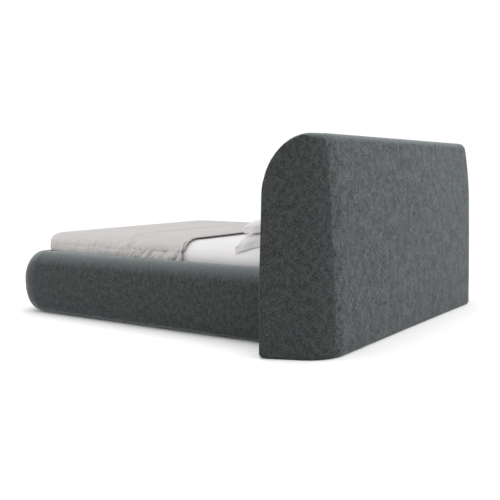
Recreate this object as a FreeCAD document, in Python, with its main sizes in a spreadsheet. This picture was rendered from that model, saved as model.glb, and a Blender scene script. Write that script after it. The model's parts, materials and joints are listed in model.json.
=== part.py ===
"""Upholstered sleigh bed with a wrap-around winged headboard and rounded bolster rails.

The row frame: +X to the right when standing at the foot, +Y from the foot to the headboard, +Z up,
origin on the floor at the middle of the bed's outline.  Every length is in millimetres.

The bed is a timber carcass: a studded headboard box with two flared wing frames, two side rails
and a foot rail.  Each is wrapped in foam and closed in a sewn fabric skin.  Steel angles and bolts
hold the rails.  Sprung slats lie between ledges and a centre beam, and carry the mattress, its
fitted sheet, the bedspread, the throw folded across it and four pillows.
"""
import FreeCAD, Part
import math
import os
import Sketcher
from FreeCAD import Placement, Rotation, Vector

doc = FreeCAD.newDocument("sleigh_bed")

# ---------------------------------------------------------------- driving dimensions
sheet = doc.addObject("Spreadsheet::Sheet", "Dims")
DIMENSIONS = (
    ("bed_length", 2320),            # outside of the foot rail to the back of the headboard
    ("headboard_top", 1100),
    ("floor_gap", 8),                # glide height: upholstery to the floor
    ("headboard_depth", 140),        # front to back, in the middle
    ("back_flat_half", 922),         # half of the flat part of the back
    ("corner_radius", 210),          # plan radius where the back turns into a wing
    ("wing_flare", 26),              # degrees between a wing and the bed's length
    ("wing_straight", 209),          # straight run of a wing's outer face
    ("wing_depth", 110),             # thickness of a wing
    ("wing_inner_radius", 35),
    ("wing_top_radius", 200),        # rounded top front corner of a wing
    ("frame_top_radius", 280),       # the same corner of a wing's timber frame
    ("frame_drop", 80),              # soft filling above a wing's timber frame
    ("edge_radius", 20),             # rounding of every upholstered headboard edge
    ("seam_half", 985),              # half of the back panel, seam to seam
    ("cover_thick", 3),
    ("foam_thick", 27),              # over the headboard's timber
    ("rail_outer_half", 960),        # centre line to the widest line of a side rail
    ("rail_width", 135),
    ("rail_top", 400),
    ("rail_crown", 88),              # how far a rail's outer face bulges
    ("rail_edge_radius", 40),
    ("rail_gap", 3),                 # rail ends to the headboard
    ("board_thick", 25),
    ("board_top", 373),
    ("ply_thick", 12),
    ("stud_width", 60),
    ("stud_count", 5),
    ("ledge_width", 30),
    ("ledge_height", 45),
    ("beam_width", 60),
    ("beam_height", 70),
    ("leg_side", 50),
    ("pad_thick", 6),                # rubber pad under a leg
    ("slat_count", 14),
    ("slat_width", 68),
    ("slat_thick", 9),
    ("slat_top", 268),
    ("holder_wall", 3),
    ("holder_length", 40),
    ("mattress_width", 1600),
    ("mattress_length", 2000),
    ("mattress_thick", 237),
    ("mattress_gap", 20),            # front of the headboard to the mattress
    ("mattress_radius", 100),
    ("sheet_thick", 4),
    ("bedspread_thick", 12),
    ("bedspread_length", 1075),      # from the mattress foot towards the head
    ("bedspread_drop", 122),         # how far it hangs below the mattress top
    ("throw_thick", 8),
    ("throw_width", 436),
    ("pillow_gap", 435),             # middle of the bed to the front of the lower pillows
    ("pillow_width", 740),
    ("pillow_length", 480),
    ("pillow_loft", 76),
    ("pillow_side", 50),             # middle of the bed to the side of a lower pillow
    ("pillow_shift", 10),            # how much nearer the middle an upper pillow lies
    ("pillow_setback", 70),          # how much nearer the headboard an upper pillow lies
    ("glide_radius", 18),
    ("bracket_leg", 70),
    ("bracket_thick", 4),
    ("bracket_height", 90),
    ("bolt_radius", 4),
    ("bolt_head_radius", 7),
    ("bolt_head_height", 5),
    ("bolt_length", 24),
    ("bolt_setback", 45),            # from the corner of an angle to its bolts
)
for row, (alias, number) in enumerate(DIMENSIONS, start=1):
    sheet.set(f"A{row}", alias)
    sheet.set(f"B{row}", str(number))
    sheet.setAlias(f"B{row}", alias)
doc.recompute()


def size(alias):
    """A driving dimension as a number, for code that has to compute with it."""
    return float(sheet.get(alias))


BACK = "Dims.bed_length / 2"
FOOT = "-Dims.bed_length / 2"
MATTRESS_HEAD = f"({BACK} - Dims.headboard_depth - Dims.mattress_gap)"
MATTRESS_FOOT = f"({MATTRESS_HEAD} - Dims.mattress_length)"
RAIL_INNER = "(Dims.rail_outer_half - Dims.rail_width)"
RAIL_HEAD_END = f"({BACK} - Dims.headboard_depth - Dims.rail_gap)"
FOOT_INNER = f"({FOOT} + Dims.rail_width)"
BEYOND = 3000                        # longer than the bed is in any direction
TOUCH = 1                            # edges nearer than this to a plane count as on it


# ---------------------------------------------------------------- small builders
def bind(obj, **expressions):
    """Bind properties of obj to spreadsheet expressions."""
    for name, text in expressions.items():
        obj.setExpression(name, str(text))
    return obj


def place(obj, x, y, z):
    """Bind where obj stands."""
    for axis, text in zip("xyz", (x, y, z)):
        obj.setExpression(f"Placement.Base.{axis}", str(text))
    return obj


def named(kind, name):
    obj = doc.addObject(kind, name)
    obj.Label = name
    return obj


def box(name, sides, corner):
    """A box with its low corner at corner."""
    solid = named("Part::Box", name)
    bind(solid, Length=sides[0], Width=sides[1], Height=sides[2])
    return place(solid, *corner)


def rod(name, radius, length, base, direction=Vector(0, 0, 1)):
    """A cylinder that starts at base and runs along direction."""
    solid = named("Part::Cylinder", name)
    bind(solid, Radius=radius, Height=length)
    solid.Placement = Placement(Vector(), Rotation(Vector(0, 0, 1), direction))
    return place(solid, *base)


def group(name, members):
    """Separate solids that share one node."""
    compound = named("Part::Compound", name)
    compound.Links = members
    return compound


def cut(name, base, *tools):
    result = named("Part::Cut", name)
    result.Base = base
    result.Tool = tools[0] if len(tools) == 1 else group(name + "_tools", list(tools))
    return result


def common(name, base, tool):
    result = named("Part::Common", name)
    result.Base = base
    result.Tool = tool
    return result


def fuse(name, members):
    result = named("Part::MultiFuse", name)
    result.Shapes = members
    return result


def rounded(name, base, radius_of):
    """Fillet the edges of base for which radius_of gives a radius."""
    doc.recompute()
    edges = []
    for index, edge in enumerate(base.Shape.Edges, start=1):
        radius = radius_of(edge)
        if radius:
            edges.append((index, radius, radius))
    result = named("Part::Fillet", name)
    result.Base = base
    result.Edges = edges
    return result


def mirrored(name, source):
    """The same solid on the left of the bed."""
    result = named("Part::Mirroring", name)
    result.Source = source
    result.Normal = Vector(1, 0, 0)
    return result


def plane_of(body, role):
    return next(o for o in body.Origin.OriginFeatures if o.Role == role)


def sketch_on(body, name, role):
    sketch = body.newObject("Sketcher::SketchObject", name)
    sketch.AttachmentSupport = [(plane_of(body, role), "")]
    sketch.MapMode = "FlatFace"
    return sketch


def dimension(sketch, name, constraint, expression):
    """Add a named dimension to a sketch and bind it to the sheet."""
    index = sketch.addConstraint(constraint)
    sketch.renameConstraint(index, name)
    sketch.setExpression(f"Constraints.{name}", expression)


def arc(centre, radius, start, end):
    """A sketch arc between two angles in degrees, counter-clockwise."""
    circle = Part.Circle(centre, Vector(0, 0, 1), radius)
    return Part.ArcOfCircle(circle, math.radians(start), math.radians(end))


def across(name, source):
    """Source and its mirror image as one group."""
    return group(name, [source, mirrored(name + "_left", source)])


# ---------------------------------------------------------------- headboard form
FLARE = math.radians(size("wing_flare"))
OUTWARD = Vector(math.cos(FLARE), math.sin(FLARE))       # square to a wing's outer face
ALONG = Vector(math.sin(FLARE), -math.cos(FLARE))        # from the back towards a wing's front edge
TURN = Vector(size("back_flat_half"), size("bed_length") / 2 - size("corner_radius"))


def wing_tip(inset):
    """Where a wing's outer face meets its front edge."""
    return TURN + OUTWARD * (size("corner_radius") - inset) + ALONG * (size("wing_straight") - inset)


def headboard_plan(body, inset, lift):
    """Right half of the headboard seen from above, drawn in from the outside by inset."""
    turn_radius = size("corner_radius") - inset
    inner_radius = size("wing_inner_radius") + inset
    back = size("bed_length") / 2 - inset
    front = back - size("headboard_depth") + 2 * inset
    tip = wing_tip(inset)
    inner_tip = tip - OUTWARD * (size("wing_depth") - 2 * inset)
    vertex = inner_tip - ALONG * ((inner_tip.y - front) / ALONG.y)
    reach = inner_radius * math.tan((math.pi / 2 - FLARE) / 2)
    sketch = sketch_on(body, body.Label + "_plan", "XY_Plane")
    sketch.addGeometry([
        Part.LineSegment(Vector(TURN.x, back), Vector(0, back)),
        Part.LineSegment(Vector(0, back), Vector(0, front)),
        Part.LineSegment(Vector(0, front), vertex - Vector(reach, 0)),
        arc(vertex + Vector(-reach, -inner_radius), inner_radius, size("wing_flare"), 90),
        Part.LineSegment(vertex + ALONG * reach, inner_tip),
        Part.LineSegment(inner_tip, tip),
        Part.LineSegment(tip, tip - ALONG * (size("wing_straight") - inset)),
        arc(TURN, turn_radius, size("wing_flare"), 90),
    ])
    back_line, middle, front_line, inside, inner_face, end, outer_face, turn = range(8)
    rule = Sketcher.Constraint
    for constraint in (
        rule("Coincident", back_line, 2, middle, 1),
        rule("Coincident", middle, 2, front_line, 1),
        rule("Tangent", front_line, 2, inside, 2),
        rule("Tangent", inside, 1, inner_face, 1),
        rule("Coincident", inner_face, 2, end, 1),
        rule("Coincident", end, 2, outer_face, 1),
        rule("Tangent", outer_face, 2, turn, 1),
        rule("Tangent", turn, 2, back_line, 1),
        rule("Horizontal", back_line),
        rule("Vertical", middle),
        rule("Horizontal", front_line),
        rule("PointOnObject", middle, 1, -2),
        rule("Perpendicular", end, outer_face),
        rule("Perpendicular", end, inner_face),
    ):
        sketch.addConstraint(constraint)
    for label, constraint, expression in (
        ("back", rule("DistanceY", -1, 1, back_line, 2, back), f"{BACK} - {inset}"),
        ("depth", rule("DistanceY", middle, 2, middle, 1, back - front),
         f"Dims.headboard_depth - {2 * inset}"),
        ("flat", rule("DistanceX", back_line, 2, back_line, 1, TURN.x), "Dims.back_flat_half"),
        ("turn", rule("Radius", turn, turn_radius), f"Dims.corner_radius - {inset}"),
        ("inside", rule("Radius", inside, inner_radius), f"Dims.wing_inner_radius + {inset}"),
        ("straight", rule("Distance", outer_face, size("wing_straight") - inset),
         f"Dims.wing_straight - {inset}"),
        ("wing", rule("Distance", end, size("wing_depth") - 2 * inset),
         f"Dims.wing_depth - {2 * inset}"),
        ("flare", rule("Angle", -1, 1, end, 1, FLARE), "Dims.wing_flare * 1 deg"),
    ):
        dimension(sketch, label, constraint, expression)
    bind(sketch, **{"AttachmentOffset.Base.z": f"Dims.floor_gap + {lift}"})
    return sketch


def wing_corner_tool(name, inset, radius):
    """What rounds off the right wing's top front corner: a square block less a drum."""
    over = 200                       # the block stands out this far past the corner
    reach = 600                      # and runs this far across the wing's thickness
    start = wing_tip(inset) - ALONG * radius - OUTWARD * (reach / 2)
    start.z = size("headboard_top") - inset - radius
    spin = Rotation(Vector(0, 0, 1), size("wing_flare") - 90)
    block = named("Part::Box", name + "_block")
    block.Length, block.Width, block.Height = radius + over, reach, radius + over
    block.Placement = Placement(start, spin)
    drum = named("Part::Cylinder", name + "_drum")
    drum.Radius, drum.Height = radius, reach
    drum.Placement = Placement(start, spin.multiply(Rotation(Vector(1, 0, 0), -90)))
    return cut(name, block, drum)


SHARP = math.radians(12)             # faces that turn by more than this meet in an edge


def is_sharp(shape, edge):
    """Whether the two faces at edge meet at an angle."""
    faces = shape.ancestorsOfType(edge, Part.Face)
    if len(faces) != 2:
        return False
    middle = edge.valueAt((edge.FirstParameter + edge.LastParameter) / 2)
    normals = [face.normalAt(*face.Surface.parameter(middle)) for face in faces]
    return normals[0].getAngle(normals[1]) > SHARP


def headboard_form(name, inset, lift):
    """The whole headboard as one closed form, drawn in by inset and raised by lift at the bottom."""
    body = named("PartDesign::Body", name + "_block")
    plan = headboard_plan(body, inset, lift)
    pad = body.newObject("PartDesign::Pad", name + "_pad")
    pad.Profile = plan
    bind(pad, Length=f"Dims.headboard_top - Dims.floor_gap - {inset + lift}")
    doc.recompute()
    mirror = body.newObject("PartDesign::Mirrored", name + "_mirror")
    mirror.Originals = [pad]
    mirror.MirrorPlane = (plane_of(body, "YZ_Plane"), [""])
    body.Tip = mirror
    right = wing_corner_tool(name + "_corner", inset, size("wing_top_radius") - inset)
    trimmed = cut(name + "_trimmed", body, right, mirrored(name + "_corner_left", right))
    radius = size("edge_radius") - inset
    if radius <= 0:
        return trimmed
    doc.recompute()
    return rounded(name, trimmed, lambda edge: radius if is_sharp(trimmed.Shape, edge) else 0)


# ---------------------------------------------------------------- headboard
COVER = size("cover_thick")
CORE = COVER + size("foam_thick")

skin_form = headboard_form("headboard_skin_form", 0, 0)
foam_form = headboard_form("headboard_foam_form", COVER, COVER)
core_form = headboard_form("headboard_core_form", CORE, COVER)

CORE_BACK = f"({BACK} - {CORE})"
CORE_FRONT = f"({BACK} - Dims.headboard_depth + {CORE})"
CORE_BOTTOM = f"(Dims.floor_gap + {COVER})"
CORE_TOP = f"(Dims.headboard_top - {CORE})"
CORE_WIDTH = "(2 * Dims.back_flat_half)"
CORE_HEIGHT = f"({CORE_TOP} - {CORE_BOTTOM})"
STUD_DEPTH = f"({CORE_BACK} - {CORE_FRONT} - 2 * Dims.ply_thick)"
STUD_FRONT = f"({CORE_FRONT} + Dims.ply_thick)"

PLY_FRONT = f"({CORE_BACK} - Dims.ply_thick)"            # the back ply's front face
headboard_back_ply = box("headboard_back_ply",
                         (CORE_WIDTH, "Dims.ply_thick", f"{CORE_HEIGHT} - Dims.stud_width"),
                         ("-Dims.back_flat_half", PLY_FRONT, CORE_BOTTOM))
front_ply_blank = box("front_ply_blank", (CORE_WIDTH, "Dims.ply_thick", CORE_HEIGHT),
                      ("-Dims.back_flat_half", CORE_FRONT, CORE_BOTTOM))
plates = [
    box(f"plate_{end}", (CORE_WIDTH, STUD_DEPTH, "Dims.stud_width"),
        ("-Dims.back_flat_half", STUD_FRONT, level))
    for end, level in (("bottom", CORE_BOTTOM), ("top", f"{CORE_TOP} - Dims.stud_width"))
]
headboard_plates = group("headboard_plates", plates)
studs = []
for number in range(int(size("stud_count"))):
    step = f"({CORE_WIDTH} - Dims.stud_width) / (Dims.stud_count - 1)"
    studs.append(box(f"stud_{number + 1}",
                     ("Dims.stud_width", STUD_DEPTH, f"{CORE_HEIGHT} - 2 * Dims.stud_width"),
                     (f"-Dims.back_flat_half + {number} * {step}", STUD_FRONT,
                      f"{CORE_BOTTOM} + Dims.stud_width")))
headboard_studs = group("headboard_studs", studs)

wing_side = box("wing_side", (BEYOND, BEYOND, BEYOND), ("Dims.back_flat_half", 0, 0))
wing_core = common("wing_core", core_form, wing_side)
wing_low = box("wing_low", (BEYOND, BEYOND, f"{CORE_TOP} - Dims.frame_drop"),
               ("Dims.back_flat_half", 0, 0))
wing_frame_right = cut("wing_frame_right", common("wing_core_low", wing_core, wing_low),
                       wing_corner_tool("frame_corner", CORE, size("frame_top_radius")))
wing_frame_left = mirrored("wing_frame_left", wing_frame_right)

foam_shell = cut("headboard_foam_shell", foam_form, core_form)
back_side = box("back_side", ("2 * Dims.seam_half", BEYOND, BEYOND),
                ("-Dims.seam_half", CORE_BACK, 0))
# The back ply stops one plate short of the top, where thicker foam softens the back's top edge.
foam_strip = box("foam_strip", (CORE_WIDTH, "Dims.ply_thick", "Dims.stud_width"),
                 ("-Dims.back_flat_half", PLY_FRONT, f"{CORE_TOP} - Dims.stud_width"))
headboard_back_foam = fuse("headboard_back_foam",
                           [common("back_foam_sheet", foam_shell, back_side), foam_strip])
wing_filling = cut("wing_filling", wing_core, wing_frame_right)
front_foam_blank = fuse("front_foam_blank", [
    cut("front_foam_sheet", foam_shell, back_side),
    wing_filling, mirrored("wing_filling_left", wing_filling)])

skin_shell = cut("headboard_skin_shell", skin_form, foam_form)
back_panel = box("back_panel", ("2 * Dims.seam_half", BEYOND, BEYOND),
                 ("-Dims.seam_half", f"{BACK} - Dims.edge_radius", 0))
headboard_back_cover = common("headboard_back_cover", skin_shell, back_panel)
front_cover_blank = cut("front_cover_blank", skin_shell, back_panel)

# ---------------------------------------------------------------- rails
BOLSTER = "(Dims.rail_width - Dims.board_thick)"             # foam and skin outside a board
BOARD_FACE = f"(Dims.rail_outer_half - {BOLSTER})"           # a side board's outer face
FOOT_FACE = f"({FOOT} + {BOLSTER})"                          # the foot board's outer face
RAIL_HEIGHT = "(Dims.rail_top - Dims.floor_gap)"
CROWN_RADIUS = f"(({RAIL_HEIGHT} ^ 2 / 4 + Dims.rail_crown ^ 2) / (2 * Dims.rail_crown))"


def rail_profile(body, name, inset, inner):
    """A rail's section: flat inside, a bulging outer face and rounded top and bottom edges.

    X runs outwards from the board's outer face.  inner is where the flat inside stands.
    """
    half = (size("rail_top") - size("floor_gap")) / 2
    middle = size("floor_gap") + half
    bolster = size("rail_width") - size("board_thick")
    crown = size("rail_crown")
    full_crown = (half ** 2 + crown ** 2) / (2 * crown)
    hub = Vector(bolster - full_crown, middle)
    small = size("rail_edge_radius") - inset
    rise = half - inset - small
    run = math.sqrt((full_crown - size("rail_edge_radius")) ** 2 - rise ** 2)
    turn = math.degrees(math.atan2(rise, run))
    top_hub = hub + Vector(run, rise)
    low_hub = hub + Vector(run, -rise)
    top, low = middle + half - inset, middle - half + inset
    sketch = sketch_on(body, name, "XZ_Plane")
    sketch.addGeometry([
        Part.LineSegment(Vector(inner, low), Vector(inner, top)),
        Part.LineSegment(Vector(inner, top), Vector(top_hub.x, top)),
        arc(top_hub, small, turn, 90),
        arc(hub, full_crown - inset, -turn, turn),
        arc(low_hub, small, -90, -turn),
        Part.LineSegment(Vector(low_hub.x, low), Vector(inner, low)),
    ])
    inside, top_line, top_edge, face, low_edge, low_line = range(6)
    rule = Sketcher.Constraint
    for constraint in (
        rule("Coincident", inside, 2, top_line, 1),
        rule("Tangent", top_line, 2, top_edge, 2),
        rule("Tangent", top_edge, 1, face, 2),
        rule("Tangent", face, 1, low_edge, 2),
        rule("Tangent", low_edge, 1, low_line, 1),
        rule("Coincident", low_line, 2, inside, 1),
        rule("Vertical", inside),
        rule("Horizontal", top_line),
        rule("Horizontal", low_line),
        rule("Equal", top_edge, low_edge),
    ):
        sketch.addConstraint(constraint)
    for label, constraint, expression in (
        ("low", rule("DistanceY", -1, 1, inside, 1, low), f"Dims.floor_gap + {inset}"),
        ("rise", rule("DistanceY", inside, 1, inside, 2, top - low), f"{RAIL_HEIGHT} - {2 * inset}"),
        ("edge", rule("Radius", top_edge, small), f"Dims.rail_edge_radius - {inset}"),
        ("crown", rule("Radius", face, full_crown - inset), f"{CROWN_RADIUS} - {inset}"),
        ("hub", rule("DistanceX", face, 3, -1, 1, -hub.x), f"{CROWN_RADIUS} - {BOLSTER}"),
    ):
        dimension(sketch, label, constraint, expression)
    if inner:
        dimension(sketch, "inner", rule("DistanceX", inside, 1, -1, 1, -inner), "Dims.board_thick")
    else:
        sketch.addConstraint(rule("PointOnObject", inside, 1, -2))
    return sketch


EIGHTH_TURN = 45                     # the rails meet in a mitre half way round each foot corner


def rail_form(name, inset, start, end, turns):
    """A rail drawn in by inset, from Y start down to Y end, with an eighth turn at the named ends."""
    body = named("PartDesign::Body", name)
    profile = rail_profile(body, name + "_section", inset, -size("board_thick"))
    bind(profile, **{"AttachmentOffset.Base.z": f"-({start})"})
    pad = body.newObject("PartDesign::Pad", name + "_run")
    pad.Profile = profile
    bind(pad, Length=f"({start}) - ({end})")
    for where in turns:
        section = rail_profile(body, f"{name}_{where}_section", inset, 0)
        bind(section, **{"AttachmentOffset.Base.z": f"-({end if where == 'end' else start})"})
        corner = body.newObject("PartDesign::Revolution", f"{name}_{where}_turn")
        corner.Profile = section
        corner.ReferenceAxis = (section, ["V_Axis"])
        corner.Angle = EIGHTH_TURN
        corner.Reversed = where == "end"
    return body


def side_form(name, inset):
    return place(rail_form(name, inset, RAIL_HEAD_END, FOOT_FACE, ("end",)), BOARD_FACE, 0, 0)


def foot_form(name, inset):
    form = rail_form(name, inset, BOARD_FACE, f"-{BOARD_FACE}", ("start", "end"))
    form.Placement = Placement(Vector(), Rotation(Vector(0, 0, 1), -90))
    place(form, 0, FOOT_FACE, 0)
    corner = box(name + "_corner", ("Dims.board_thick", "Dims.board_thick", BEYOND),
                 (f"{BOARD_FACE} - Dims.board_thick", FOOT_FACE, 0))
    return cut(name + "_trimmed", form, corner, mirrored(name + "_corner_left", corner))


BOARD_BOTTOM = f"(Dims.floor_gap + {COVER})"
BOARD_HEIGHT = f"(Dims.board_top - {BOARD_BOTTOM})"
side_board_blank = box("side_board_blank",
                       ("Dims.board_thick", f"{RAIL_HEAD_END} - {FOOT_FACE}", BOARD_HEIGHT),
                       (RAIL_INNER, FOOT_FACE, BOARD_BOTTOM))
foot_board_blank = box("foot_board_blank",
                       (f"2 * {RAIL_INNER}", "Dims.board_thick", BOARD_HEIGHT),
                       (f"-{RAIL_INNER}", FOOT_FACE, BOARD_BOTTOM))

side_foam_form = side_form("side_foam_form", COVER)
foot_foam_form = foot_form("foot_foam_form", COVER)
side_rail_foam_right = cut("side_rail_foam_right", side_foam_form, side_board_blank)
side_rail_foam_left = mirrored("side_rail_foam_left", side_rail_foam_right)
foot_rail_foam = cut("foot_rail_foam", foot_foam_form, foot_board_blank)
side_rail_cover_right = cut("side_rail_cover_right", side_form("side_skin_form", 0),
                            side_foam_form)
side_rail_cover_left = mirrored("side_rail_cover_left", side_rail_cover_right)
foot_rail_cover = cut("foot_rail_cover", foot_form("foot_skin_form", 0), foot_foam_form)

# ---------------------------------------------------------------- steel angles and bolts
BRACKET_BOTTOM = 60
BOLT_LEVELS = (22, 68)               # above a bracket's bottom
HEAD_FACE = f"({BACK} - Dims.headboard_depth)"


def bracket_bolts(name, along, base):
    """Two bolts through an angle's leg, with their heads towards the middle of the bed."""
    bolts = []
    for number, level in enumerate(BOLT_LEVELS, start=1):
        x, y = base
        z = f"{BRACKET_BOTTOM + level}"
        head = rod(f"{name}_{number}_head", "Dims.bolt_head_radius", "Dims.bolt_head_height",
                   (x, y, z), -along)
        shank = rod(f"{name}_{number}_shank", "Dims.bolt_radius", "Dims.bolt_length", (x, y, z),
                    along)
        bolts.append(fuse(f"{name}_{number}", [head, shank]))
    return bolts


def angle(name, corner, inward_y):
    """A steel angle in the corner of a side board, one leg on it and one across the end."""
    x, y = corner
    leg, thick = "Dims.bracket_leg", "Dims.bracket_thick"
    low_y = y if inward_y > 0 else f"{y} - {leg}"
    cross_y = y if inward_y > 0 else f"{y} - {thick}"
    return fuse(name, [
        box(name + "_side", (thick, leg, "Dims.bracket_height"),
            (f"{x} - {thick}", low_y, BRACKET_BOTTOM)),
        box(name + "_across", (leg, thick, "Dims.bracket_height"),
            (f"{x} - {leg}", cross_y, BRACKET_BOTTOM)),
    ])


SIDE_BOLT_X = f"{RAIL_INNER} - Dims.bracket_thick"
head_side_bolts = bracket_bolts("head_side_bolt", Vector(1, 0, 0),
                                (SIDE_BOLT_X, f"{HEAD_FACE} - Dims.bolt_setback"))
head_end_bolts = bracket_bolts("head_end_bolt", Vector(0, 1, 0),
                               (f"{RAIL_INNER} - Dims.bolt_setback",
                                f"{HEAD_FACE} - Dims.bracket_thick"))
foot_side_bolts = bracket_bolts("foot_side_bolt", Vector(1, 0, 0),
                                (SIDE_BOLT_X, f"{FOOT_INNER} + Dims.bolt_setback"))
foot_end_bolts = bracket_bolts("foot_end_bolt", Vector(0, -1, 0),
                               (f"{RAIL_INNER} - Dims.bolt_setback",
                                f"{FOOT_INNER} + Dims.bracket_thick"))
head_end_both = across("head_end_bolts", group("head_end_right", head_end_bolts))
foot_end_both = across("foot_end_bolts", group("foot_end_right", foot_end_bolts))
side_bolts = group("side_bolts_right", head_side_bolts + foot_side_bolts)
head_bolts = across("headboard_bolts",
                    group("headboard_bolts_right", head_side_bolts + head_end_bolts))
foot_bolts = across("foot_rail_bolts",
                    group("foot_rail_bolts_right", foot_side_bolts + foot_end_bolts))
head_angle = cut("head_angle", angle("head_angle_blank", (RAIL_INNER, HEAD_FACE), -1),
                 *head_side_bolts, *head_end_bolts)
foot_angle = cut("foot_angle", angle("foot_angle_blank", (RAIL_INNER, FOOT_INNER), 1),
                 *foot_side_bolts, *foot_end_bolts)
headboard_brackets = across("headboard_brackets", head_angle)
foot_rail_brackets = across("foot_rail_brackets", foot_angle)

side_rail_board_right = cut("side_rail_board_right", side_board_blank, side_bolts)
side_rail_board_left = mirrored("side_rail_board_left", side_rail_board_right)
foot_rail_board = cut("foot_rail_board", foot_board_blank, foot_end_both)
headboard_front_ply = cut("headboard_front_ply", front_ply_blank, head_end_both)
headboard_front_foam = cut("headboard_front_foam", front_foam_blank, head_end_both)
headboard_front_cover = cut("headboard_front_cover", front_cover_blank, head_end_both)

# ---------------------------------------------------------------- slat base
HOLDER_BOTTOM = "(Dims.slat_top - Dims.slat_thick - Dims.holder_wall)"
LEG_PLACES = (-0.3, 0, 0.3)          # from the middle, as shares of the mattress length
LEDGE_BOTTOM = f"({HOLDER_BOTTOM} - Dims.ledge_height)"
slat_ledge_right = box("slat_ledge_right",
                       ("Dims.ledge_width", f"{RAIL_HEAD_END} - {FOOT_INNER}",
                        "Dims.ledge_height"),
                       (f"{RAIL_INNER} - Dims.ledge_width", FOOT_INNER, LEDGE_BOTTOM))
slat_ledge_left = mirrored("slat_ledge_left", slat_ledge_right)
BEAM_BOTTOM = f"({HOLDER_BOTTOM} - Dims.beam_height)"
centre_beam = box("centre_beam",
                  ("Dims.beam_width", f"{HEAD_FACE} - {FOOT_INNER}", "Dims.beam_height"),
                  ("-Dims.beam_width / 2", FOOT_INNER, BEAM_BOTTOM))
legs, pads = [], []
for number, where in enumerate(LEG_PLACES, start=1):
    at = f"{where} * Dims.mattress_length"
    legs.append(box(f"leg_{number}",
                    ("Dims.leg_side", "Dims.leg_side", f"{BEAM_BOTTOM} - Dims.pad_thick"),
                    ("-Dims.leg_side / 2", f"{at} - Dims.leg_side / 2", "Dims.pad_thick")))
    pads.append(rod(f"leg_pad_{number}", "Dims.glide_radius", "Dims.pad_thick", (0, at, 0)))
beam_legs = group("beam_legs", legs)
beam_leg_pads = group("beam_leg_pads", pads)
hangers = []
for end, inner_y, direction in (("head", HEAD_FACE, -1), ("foot", FOOT_INNER, 1)):
    plate_y = inner_y if direction > 0 else f"{inner_y} - Dims.bracket_thick"
    shelf_y = inner_y if direction > 0 else f"{inner_y} - Dims.bracket_leg"
    hangers.append(fuse(f"hanger_{end}", [
        box(f"hanger_{end}_plate", ("Dims.beam_width", "Dims.bracket_thick", "Dims.bracket_leg"),
            ("-Dims.beam_width / 2", plate_y, f"{BEAM_BOTTOM} - Dims.bracket_leg")),
        box(f"hanger_{end}_shelf", ("Dims.beam_width", "Dims.bracket_leg", "Dims.bracket_thick"),
            ("-Dims.beam_width / 2", shelf_y, f"{BEAM_BOTTOM} - Dims.bracket_thick")),
    ]))
beam_hangers = group("beam_hangers", hangers)

slats, holders = [], []
for number in range(int(size("slat_count"))):
    centre = f"({MATTRESS_FOOT} + {number + 0.5} * Dims.mattress_length / Dims.slat_count)"
    slat = box(f"slat_{number + 1}",
               (f"{RAIL_INNER} - 2 * Dims.holder_wall", "Dims.slat_width", "Dims.slat_thick"),
               ("Dims.holder_wall", f"{centre} - Dims.slat_width / 2",
                f"{HOLDER_BOTTOM} + Dims.holder_wall"))
    slats.append(slat)
    for end, x in (("middle", "0"), ("side", f"{RAIL_INNER} - Dims.holder_length")):
        sleeve = box(f"holder_{number + 1}_{end}_blank",
                     ("Dims.holder_length", "Dims.slat_width + 2 * Dims.holder_wall",
                      "Dims.slat_thick + 2 * Dims.holder_wall"),
                     (x, f"{centre} - Dims.slat_width / 2 - Dims.holder_wall", HOLDER_BOTTOM))
        holders.append(cut(f"holder_{number + 1}_{end}", sleeve, slat))
slats_right = group("slats_right", slats)
slats_left = mirrored("slats_left", slats_right)
slat_holders = across("slat_holders", group("slat_holders_right", holders))

GLIDE_IN = 20                        # rail glides: this far inside the boards' faces
HEAD_GLIDE = 80                      # the last rail glide: this far from the headboard
CORNER_GLIDE = 100                   # headboard glides: this far from the end of the flat back
wing_middle = wing_tip(0) - OUTWARD * (size("wing_depth") / 2) - ALONG * (size("wing_straight") / 2)
glide_spots = (
    (f"{RAIL_INNER} + {GLIDE_IN}", f"{FOOT_FACE} + {GLIDE_IN}"),
    (f"{RAIL_INNER} + {GLIDE_IN}", "0"),
    (f"{RAIL_INNER} + {GLIDE_IN}", f"{HEAD_FACE} - {HEAD_GLIDE}"),
    (f"Dims.back_flat_half - {CORNER_GLIDE}", f"{BACK} - Dims.headboard_depth / 2"),
    ("Dims.back_flat_half / 3", f"{BACK} - Dims.headboard_depth / 2"),
    (str(wing_middle.x), str(wing_middle.y)),
)
glides = across("glides", group("glides_right", [
    rod(f"glide_{number}", "Dims.glide_radius", "Dims.floor_gap", (x, y, 0))
    for number, (x, y) in enumerate(glide_spots, start=1)
]))


# ---------------------------------------------------------------- mattress and bedding
def soft_box(name, sides, corner, radius):
    """A box with every edge rounded."""
    return rounded(name, box(name + "_blank", sides, corner), lambda edge: radius)


BASE = "(Dims.slat_top + Dims.holder_wall)"
MATTRESS_TOP = f"({BASE} + Dims.mattress_thick)"


def bed_cover(name, grow, top, bottom, head, radius, inner, open_head):
    """A layer over the mattress: grown sideways, from the foot up to head, less what is inside."""
    half = f"(Dims.mattress_width / 2 + {grow})"
    foot = f"({MATTRESS_FOOT} - ({grow}))"
    blank = box(name + "_blank", (f"2 * {half}", f"({head}) - {foot}", f"({top}) - ({bottom})"),
                (f"-{half}", foot, bottom))
    doc.recompute()
    low, far = blank.Shape.BoundBox.ZMin, blank.Shape.BoundBox.YMax

    def radius_of(edge):
        limits = edge.BoundBox
        on_head = open_head and limits.YMin > far - TOUCH
        return 0 if limits.ZMax < low + TOUCH or on_head else radius

    form = rounded(name + "_form", blank, radius_of)
    return form, cut(name, form, inner)


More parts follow.
